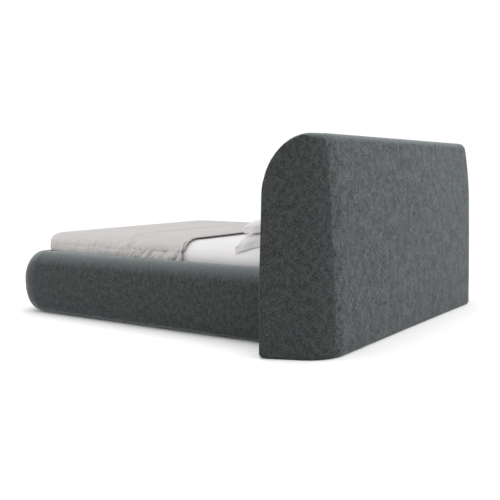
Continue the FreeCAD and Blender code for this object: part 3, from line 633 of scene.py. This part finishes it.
TOTAL_RUN = 2 * SIDE_RUN + FOOT_RUN + 4 * MITRE
FOOT_KEPT = 0.03                         # this much of the foot rail's inner side stays in place
RAIL_SPANS = (
    ("side_rail_skin_left", 0.0, SIDE_RUN + MITRE,
     ["side_rail_cover_left", "side_rail_foam_left"]),
    ("foot_rail_skin", SIDE_RUN + MITRE, TOTAL_RUN - SIDE_RUN - MITRE,
     ["foot_rail_cover", "foot_rail_foam"]),
    ("side_rail_skin_right", TOTAL_RUN - SIDE_RUN - MITRE, TOTAL_RUN,
     ["side_rail_cover_right", "side_rail_foam_right"]),
)
for name, start, end, nodes in RAIL_SPANS:
    skin = rail_skin(name, start, end)
    rail_uvs(skin)
    soften_rail(skin)
    bend_along(skin, rail_line())
    places = vertices_of(skin)
    swollen = RAIL_DEPTH - FOOT_KEPT
    outer = np.clip((FOOT_OUTER + RAIL_DEPTH - FOOT_KEPT - places[:, 1]) / swollen, 0, 1)
    places[:, 1] -= FOOT_SWELL * outer
    move_vertices(skin, places)
    face_outwards(skin)
    finish_cover(skin, CHARCOAL, nodes)

# ---------------------------------------------------------------- mattress and fitted sheet
# A deep pocket-sprung mattress with soft shoulders, under a white percale sheet that an
# elastic hem pulls smooth.
BED_LOW, BED_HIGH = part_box("fitted_sheet")
SHEET_TOP = BED_HIGH[2]
SHEET_HALF = BED_HIGH[0]
SHEET_FOOT, SHEET_HEAD = BED_LOW[1], BED_HIGH[1]
SHOULDER = 0.108                         # radius of the mattress's soft shoulders
SHEET_WAVE = 0.0008                      # height of the slow waves in the mattress's top


def percale_group():
    """Colour, roughness and height of plain cotton from coordinates in metres."""
    tree, given, made = new_group(
        "cotton_percale",
        [("Cloth", VECTOR, None), ("Dark", COLOUR, (0.6, 0.6, 0.6, 1)),
         ("Light", COLOUR, (0.8, 0.8, 0.8, 1)), ("Slub", VALUE, 0.5)],
        [("Colour", COLOUR), ("Roughness", VALUE), ("Height", VALUE)])
    cloth = given.outputs["Cloth"]
    slubs = noise(tree, stretched(tree, cloth, (420.0, 60.0, 60.0)), 1.0, 2.0, 0.5)
    cross_slubs = noise(tree, stretched(tree, cloth, (60.0, 420.0, 420.0)), 1.0, 2.0, 0.5)
    clouds = noise(tree, cloth, 6.0, 2.0, 0.5)
    threads = maths(tree, "ADD", maths(tree, "MULTIPLY", slubs, 0.5),
                    maths(tree, "MULTIPLY", cross_slubs, 0.5))
    tone = maths(tree, "ADD", maths(tree, "MULTIPLY", threads, given.outputs["Slub"]),
                 maths(tree, "MULTIPLY", clouds, 0.5))
    colour = mix_colour(tree, remap(tree, tone, 0.2, 0.8), given.outputs["Dark"],
                        given.outputs["Light"])
    creases = noise(tree, cloth, 55.0, 4.0, 0.6)
    height = maths(tree, "ADD", maths(tree, "MULTIPLY", threads, 0.5),
                   maths(tree, "MULTIPLY", creases, 0.5))
    tree.links.new(colour, made.inputs["Colour"])
    tree.links.new(remap(tree, threads, 0.3, 0.7, 0.90, 0.80), made.inputs["Roughness"])
    tree.links.new(height, made.inputs["Height"])
    return tree


PERCALE = percale_group()
WHITE_COTTON = cloth_material("white_percale", PERCALE, 0.20, 0.03, 0.5, "Object",
                              Dark=(0.62, 0.605, 0.61, 1), Light=(0.68, 0.665, 0.67, 1), Slub=0.4)
GREIGE_COTTON = cloth_material("greige_washed_cotton", PERCALE, 0.45, 0.03, 0.5, "Object",
                               Dark=(0.385, 0.370, 0.363, 1), Light=(0.465, 0.447, 0.440, 1),
                               Slub=0.7)


def rounded_bed_block(name, low, high, radius, voxel):
    """A mattress-shaped block: rounded shoulders and corners, an even mesh."""
    block = box_block(name, low, high)
    mesh = edit_mode(block)
    select_where(block, mesh, "edges", lambda edge, at: at.z > low[2] + 0.001)
    bpy.ops.mesh.bevel(offset=radius, offset_type="OFFSET", segments=8, affect="EDGES")
    object_mode(block)
    apply_modifier(block, "even", "REMESH", mode="VOXEL", voxel_size=voxel)
    apply_modifier(block, "settle", "SMOOTH", factor=0.5, iterations=4)
    return block


def keep_faces(piece, test):
    """Delete the faces of piece that don't pass test."""
    mesh = edit_mode(piece)
    select_where(piece, mesh, "faces", lambda face, at: not test(face, at))
    bpy.ops.mesh.delete(type="FACE")
    object_mode(piece)


sheet = rounded_bed_block("fitted_sheet_cloth", (-SHEET_HALF, SHEET_FOOT, BED_LOW[2]),
                          (SHEET_HALF, SHEET_HEAD, SHEET_TOP), SHOULDER, 0.016)
places = vertices_of(sheet)
on_top = smoothstep(places[:, 2], SHEET_TOP - 0.05, SHEET_TOP)
places[:, 2] -= SHEET_WAVE * on_top * (2 + np.sin(places[:, 1] * 9.0 + places[:, 0] * 2.0)
                                       + np.sin(places[:, 0] * 6.0 + 1.3))
move_vertices(sheet, places)
keep_faces(sheet, lambda face, at: at.z > BED_LOW[2] + 0.02)
finish_cover(sheet, WHITE_COTTON, ["fitted_sheet"])
apply_modifier(sheet, "thickness", "SOLIDIFY", thickness=0.002, offset=-1)

# ---------------------------------------------------------------- bedspread
# A washed-cotton bedspread lies over the foot half of the bed and is tucked in between the
# mattress and the rails, so it wrinkles where its sides are pushed down.
SPREAD_LOW, SPREAD_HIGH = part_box("bedspread")
SPREAD_HALF, SPREAD_FOOT = SPREAD_HIGH[0], SPREAD_LOW[1]
SPREAD_TOP, SPREAD_HEM = SPREAD_HIGH[2], SPREAD_HIGH[1]
FOOT_PUFF = 0.052                        # how far it stands out over the foot rail's inner edge
HEM_SETBACK = 0.004                      # it ends this far before the throw's hem
CLOTH_GAP = 0.004                        # between a cloth's top and the top of its CAD solid
FREE_SLIDE = 0.02                        # how far cloth may slip along the bed as it settles
PIN_BLEND = 0.06                         # height over which cloth comes free of its pins
THROW_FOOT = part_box("throw")[0][1]       # the throw's edge towards the foot
UNDER_THROW = 0.003                      # the bedspread is pressed down this much below it
SPREAD_THICK, THROW_THICK = 0.004, 0.006


def pinned_cloth(piece, pins, shrink, frames, stiffness=8.0, bending=0.6, gravity=1.0,
                 solid=None, gap=0.004, pressure=0.0, mass=0.25):
    """Settle piece as cloth held at pins, and keep the result as its mesh."""
    group = piece.vertex_groups.new(name="pins")
    for index in np.nonzero(pins)[0]:
        group.add([int(index)], 1.0, "REPLACE")
    cloth = piece.modifiers.new("cloth", "CLOTH")
    settings = cloth.settings
    settings.quality = 6
    settings.mass = mass
    settings.tension_stiffness = stiffness
    settings.compression_stiffness = stiffness
    settings.shear_stiffness = stiffness * 0.4
    settings.bending_stiffness = bending
    settings.air_damping = 2.0
    settings.shrink_min = shrink
    settings.vertex_group_mass = "pins"
    settings.effector_weights.gravity = gravity
    if pressure:
        settings.use_pressure = True
        settings.uniform_pressure_force = pressure
    cloth.collision_settings.distance_min = gap
    cloth.collision_settings.use_self_collision = False
    cloth.point_cache.frame_start = 1
    cloth.point_cache.frame_end = frames
    if solid:
        block = solid.modifiers.new("block", "COLLISION")
        solid.collision.thickness_outer = gap
        solid.collision.cloth_friction = 12.0
    for frame_number in range(1, frames + 1):
        bpy.context.scene.frame_set(frame_number)
    bpy.context.view_layer.objects.active = piece
    bpy.ops.object.modifier_apply(modifier="cloth")
    if solid:
        solid.modifiers.remove(block)
    bpy.context.scene.frame_set(1)


def cap_travel(piece, start, outwards, inward, outward):
    """Keep each vertex between two distances from where it started, along outwards."""
    travel = vertices_of(piece) - start
    depth = (travel * outwards).sum(axis=1)
    slide = travel - outwards * depth[:, None]
    slide *= np.minimum(1, FREE_SLIDE / np.maximum(np.linalg.norm(slide, axis=1), 1e-9))[:, None]
    depth = np.where(depth < 0, -inward * np.tanh(-depth / inward),
                     outward * np.tanh(depth / outward))
    move_vertices(piece, start + slide + outwards * depth[:, None])


def creases(places, angle, along, across, seed):
    """Ridged noise drawn out along a direction that climbs towards the head by angle."""
    values = np.empty(len(places))
    slant, rise = math.cos(angle), math.sin(angle)
    for index, (x, y, z) in enumerate(places):
        down = SPREAD_TOP - z + max(0.0, abs(x) - SPREAD_HALF + SHOULDER)
        run = y * slant - down * rise
        off = y * rise + down * slant
        spot = Vector((run / along, off / across, seed + math.copysign(7.0, x)))
        bent = spot + Vector((0, 0.6 * mathutils.noise.noise(spot * 0.7), 0))
        values[index] = mathutils.noise.noise(bent) + 0.5 * mathutils.noise.noise(bent * 2.1)
    return 1 - 2.4 * np.abs(values)


def bed_layer(name, low, high, radius, voxel, pinned_below, shrink, frames, limits, keep=None):
    """A cloth over the bed: a rounded shell, open below and at its head edge, then settled."""
    layer = rounded_bed_block(name, (low[0], low[1], low[2] - 0.05),
                              (high[0], high[1] + 0.20, high[2]), radius, voxel)
    keep_faces(layer, lambda face, at: at.z > low[2] and at.y < high[1]
               and (keep is None or keep(at)))
    start = vertices_of(layer)
    outwards = directions_of(layer)
    pins = start[:, 2] < pinned_below
    bumps = np.random.default_rng(7).normal(0, 0.0006, start.shape)
    bumps[pins] = 0
    move_vertices(layer, start + bumps)
    pinned_cloth(layer, pins, shrink, frames, solid=sheet)
    cap_travel(layer, start, outwards, *limits)
    free = smoothstep(start[:, 2], pinned_below, pinned_below + PIN_BLEND)[:, None]
    move_vertices(layer, start + (vertices_of(layer) - start) * free)
    return layer


def crease_sides(piece, angle, along, across, seed, height, inward, top_share):
    """Raise creases on the parts that hang down, fading to top_share of their height on top."""
    places = vertices_of(piece)
    ridge = creases(places, angle, along, across, seed)
    hang = 1 - smoothstep(places[:, 2], SPREAD_TOP - 0.055, SPREAD_TOP)
    from_hem = places[:, 1].max() - places[:, 1]
    hang *= 0.3 + 0.7 * smoothstep(from_hem, 0.0, 0.04)
    amount = np.clip(ridge, -1, 1) * height * (top_share + (1 - top_share) * hang)
    places += directions_of(piece) * np.maximum(amount, -inward)[:, None]
    move_vertices(piece, places)


spread = bed_layer("bedspread_cloth", (-SPREAD_HALF, SPREAD_FOOT, SPREAD_LOW[2]),
                   (SPREAD_HALF, SPREAD_HEM - HEM_SETBACK, SPREAD_TOP - CLOTH_GAP),
                   radius=0.072, voxel=0.014, pinned_below=0.405, shrink=-0.035, frames=24,
                   limits=(0.003, 0.006))
places = vertices_of(spread)
at_foot = smoothstep(-places[:, 1], -SPREAD_FOOT - 0.16, -SPREAD_FOOT)
places[:, 1] -= FOOT_PUFF * at_foot * smoothstep(places[:, 2], 0.385, 0.403)
move_vertices(spread, places)
apply_modifier(spread, "finer", "SUBSURF", levels=1, render_levels=1)
crease_sides(spread, math.radians(70), along=0.16, across=0.045, seed=3.0, height=0.0045,
             inward=0.003, top_share=0.12)
places = vertices_of(spread)
under_throw = smoothstep(places[:, 1], THROW_FOOT + 0.02, THROW_FOOT + 0.10)
places -= directions_of(spread) * (UNDER_THROW * under_throw)[:, None]
move_vertices(spread, places)
apply_modifier(spread, "thickness", "SOLIDIFY", thickness=SPREAD_THICK, offset=-1)
finish_cover(spread, GREIGE_COTTON, ["bedspread"])

# ---------------------------------------------------------------- throw
# The throw lies across the bed over the bedspread's head edge.  Its sides are pushed down beside
# the mattress, which drags slanting wrinkles across its shoulders.
THROW_LOW, THROW_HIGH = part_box("throw")
ROLL_INSET, ROLL_WIDTH, ROLL_HEIGHT = 0.012, 0.009, 0.008   # the bead along its foot edge
throw = bed_layer("throw_cloth", (-THROW_HIGH[0], SPREAD_FOOT - 0.2, THROW_LOW[2] - 0.02),
                  (THROW_HIGH[0], THROW_HIGH[1], THROW_HIGH[2] - 0.002),
                  radius=SHOULDER + 0.022, voxel=0.012, pinned_below=0.415, shrink=-0.06,
                  frames=28, limits=(0.002, 0.008), keep=lambda at: at.y > THROW_FOOT)
apply_modifier(throw, "finer", "SUBSURF", levels=1, render_levels=1)
crease_sides(throw, math.radians(52), along=0.13, across=0.030, seed=11.0, height=0.0120,
             inward=0.006, top_share=0.04)
places = vertices_of(throw)
rolled = np.exp(-((places[:, 1] - THROW_FOOT - ROLL_INSET) / ROLL_WIDTH) ** 2)
places += directions_of(throw) * (ROLL_HEIGHT * rolled)[:, None]
move_vertices(throw, places)
apply_modifier(throw, "thickness", "SOLIDIFY", thickness=THROW_THICK, offset=-1)
finish_cover(throw, GREIGE_COTTON, ["throw"])

# ---------------------------------------------------------------- pillows
# Four feather pillows in white cases, stacked in two pairs.  A filled case swells in the middle
# and keeps four pointed corners with small puckers beside its seams.
FULLNESS = 0.30                          # under 1, so the case is plump close to its seam
SEAM_GAP = 0.024                         # between a case's two sides before it is filled
PILLOW_CUTS = 38                         # rows of new edges across a case
LOWER_DROOP, UPPER_DROOP = 0.78, 0.55    # shares of the shoulder's fall that a pillow follows
PILLOW_TURNS = (1.5, -2.5, -3.0, 2.0)    # degrees each is turned
PILLOW_ADVANCE = 0.022                   # the cases lie this far before the CAD pillows
PILLOW_NODES = ("pillow_lower_right", "pillow_lower_left", "pillow_upper_right",
                "pillow_upper_left")


def filled_pillow(name, width, length, loft):
    """A flat case blown up to loft, centred on the origin."""
    case = box_block(name, (-width / 2, -length / 2, -SEAM_GAP / 2),
                     (width / 2, length / 2, SEAM_GAP / 2))
    edit_mode(case)
    bpy.ops.mesh.select_all(action="SELECT")
    bpy.ops.mesh.subdivide(number_cuts=PILLOW_CUTS)
    object_mode(case)
    pinned_cloth(case, np.zeros(len(case.data.vertices), dtype=bool), shrink=0.0, frames=26,
                 stiffness=15.0, bending=0.3, gravity=0.0, pressure=5.0, mass=0.15)
    places = vertices_of(case)
    size = places.max(axis=0) - places.min(axis=0)
    places -= (places.max(axis=0) + places.min(axis=0)) / 2
    places *= np.array((width, length, 2)) / size
    height = np.abs(places[:, 2]) ** FULLNESS
    places[:, 2] = np.where(places[:, 2] > 0, height * loft, -0.004 * height)
    move_vertices(case, places)
    return case


def shoulder_drop(x):
    """How far the sheet lies below its top at a distance x from the middle of the bed."""
    reach = np.clip((np.abs(x) - SHEET_HALF + SHOULDER) / SHOULDER, 0, 0.95)
    return SHOULDER * (1 - np.sqrt(1 - reach ** 2))


pillow_low, pillow_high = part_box("pillow_lower_right")
pillow_size = Vector(pillow_high) - Vector(pillow_low)
pattern = filled_pillow("pillow_pattern", pillow_size.x, pillow_size.y, pillow_size.z)
for index, node in enumerate(PILLOW_NODES):
    pillow = pattern.copy()
    pillow.data = pattern.data.copy()
    pillow.name = node.replace("pillow_", "pillow_case_")
    bpy.context.scene.collection.objects.link(pillow)
    low, high = (Vector(corner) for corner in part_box(node))
    centre = (low + high) / 2
    places = vertices_of(pillow)
    turn = math.radians(PILLOW_TURNS[index])
    flip = -1 if index % 2 else 1
    places[:, 0] *= flip
    x = places[:, 0] * math.cos(turn) - places[:, 1] * math.sin(turn)
    y = places[:, 0] * math.sin(turn) + places[:, 1] * math.cos(turn)
    places = np.stack([x, y, places[:, 2]], axis=1)
    places += np.array((centre.x, centre.y - PILLOW_ADVANCE, low.z + 0.001))
    places[:, 2] -= shoulder_drop(places[:, 0]) * (LOWER_DROOP if index < 2 else UPPER_DROOP)
    move_vertices(pillow, places)
    face_outwards(pillow)
    apply_modifier(pillow, "finer", "SUBSURF", levels=1, render_levels=1)
    finish_cover(pillow, WHITE_COTTON, [node])
bpy.data.objects.remove(pattern)

# ---------------------------------------------------------------- timber carcass and slats
# Planed softwood boards, birch plywood skins and laminated beech slats, all left bare inside the
# bed.  They show only from below and when the mattress is lifted.
def timber_group():
    """Colour, roughness and height of planed timber whose grain runs along the first axis."""
    tree, given, made = new_group(
        "planed_timber",
        [("Cloth", VECTOR, None), ("Dark", COLOUR, (0.3, 0.2, 0.1, 1)),
         ("Light", COLOUR, (0.6, 0.4, 0.25, 1)), ("Grain", VALUE, 1.0)],
        [("Colour", COLOUR), ("Roughness", VALUE), ("Height", VALUE)])
    along = add_node(tree, "ShaderNodeVectorMath", {"operation": "SCALE"},
                     i0=stretched(tree, given.outputs["Cloth"], (1.6, 26.0, 26.0)),
                     Scale=given.outputs["Grain"]).outputs[0]
    rings = noise(tree, along, 1.0, 4.0, 0.55)
    pores = noise(tree, stretched(tree, along, (14.0, 14.0, 14.0)), 1.0, 2.0, 0.5)
    tone = maths(tree, "ADD", maths(tree, "MULTIPLY", remap(tree, rings, 0.3, 0.7), 0.75),
                 maths(tree, "MULTIPLY", pores, 0.25))
    tree.links.new(mix_colour(tree, tone, given.outputs["Dark"], given.outputs["Light"]),
                   made.inputs["Colour"])
    tree.links.new(remap(tree, pores, 0.3, 0.7, 0.62, 0.48), made.inputs["Roughness"])
    tree.links.new(tone, made.inputs["Height"])
    return tree


TIMBER = timber_group()
TIMBER_FINISHES = {
    "softwood": ((0.42, 0.27, 0.14, 1), (0.66, 0.49, 0.30, 1), 1.0),
    "plywood": ((0.50, 0.36, 0.21, 1), (0.70, 0.55, 0.37, 1), 0.6),
    "slat_wood": ((0.58, 0.42, 0.26, 1), (0.76, 0.61, 0.42, 1), 1.8),
}


def dress_nodes(slot, material):
    """Give material to every CAD node whose record entry names slot."""
    for entry in frame["record"]["subparts"]:
        if entry["material_slot"] == slot:
            node = frame["nodes"][entry["node"]]
            node.data.materials.clear()
            node.data.materials.append(material)


for slot, (dark, light, grain) in TIMBER_FINISHES.items():
    timber = cloth_material(slot, TIMBER, 0.25, 0.0, 0.5, "Object", Dark=dark, Light=light,
                            Grain=grain)
    timber.node_tree.nodes["Principled BSDF"].inputs["Specular IOR Level"].default_value = 0.4
    dress_nodes(slot, timber)


# ---------------------------------------------------------------- steel, plastic and rubber
# Powder-coated angles and hangers, zinc-plated bolts, moulded glides and slat holders, and the
# rubber pads under the beam's legs.
def grainy_group():
    """Colour, roughness and height of a finely mottled hard finish."""
    tree, given, made = new_group(
        "fine_mottle",
        [("Cloth", VECTOR, None), ("Dark", COLOUR, (0.02, 0.02, 0.02, 1)),
         ("Light", COLOUR, (0.05, 0.05, 0.05, 1)), ("Size", VALUE, 900.0)],
        [("Colour", COLOUR), ("Roughness", VALUE), ("Height", VALUE)])
    grit = noise(tree, given.outputs["Cloth"], given.outputs["Size"], 3.0, 0.6)
    wear = noise(tree, given.outputs["Cloth"], 18.0, 3.0, 0.6)
    tree.links.new(mix_colour(tree, wear, given.outputs["Dark"], given.outputs["Light"]),
                   made.inputs["Colour"])
    tree.links.new(remap(tree, wear, 0.3, 0.7, 0.40, 0.62), made.inputs["Roughness"])
    tree.links.new(grit, made.inputs["Height"])
    return tree


GRAINY = grainy_group()
HARD_FINISHES = {
    "bracket_steel": ((0.018, 0.018, 0.019, 1), (0.04, 0.04, 0.042, 1), 1400.0, 0.0),
    "bolt_steel": ((0.42, 0.42, 0.43, 1), (0.60, 0.60, 0.60, 1), 700.0, 1.0),
    "black_plastic": ((0.015, 0.015, 0.016, 1), (0.03, 0.03, 0.03, 1), 1100.0, 0.0),
    "pad_rubber": ((0.02, 0.02, 0.02, 1), (0.045, 0.044, 0.043, 1), 500.0, 0.0),
}
for slot, (dark, light, grit_size, metallic) in HARD_FINISHES.items():
    finish = cloth_material(slot, GRAINY, 0.15, 0.0, 0.5, "Object", Dark=dark, Light=light,
                            Size=grit_size)
    finish_shader = finish.node_tree.nodes["Principled BSDF"]
    finish_shader.inputs["Specular IOR Level"].default_value = 0.5
    finish_shader.inputs["Metallic"].default_value = metallic
    dress_nodes(slot, finish)
TICKING = cloth_material("mattress_ticking", PERCALE, 0.5, 0.1, 0.5, "Object",
                         Dark=(0.66, 0.64, 0.61, 1), Light=(0.80, 0.78, 0.75, 1), Slub=0.6)
dress_nodes("mattress_ticking", TICKING)
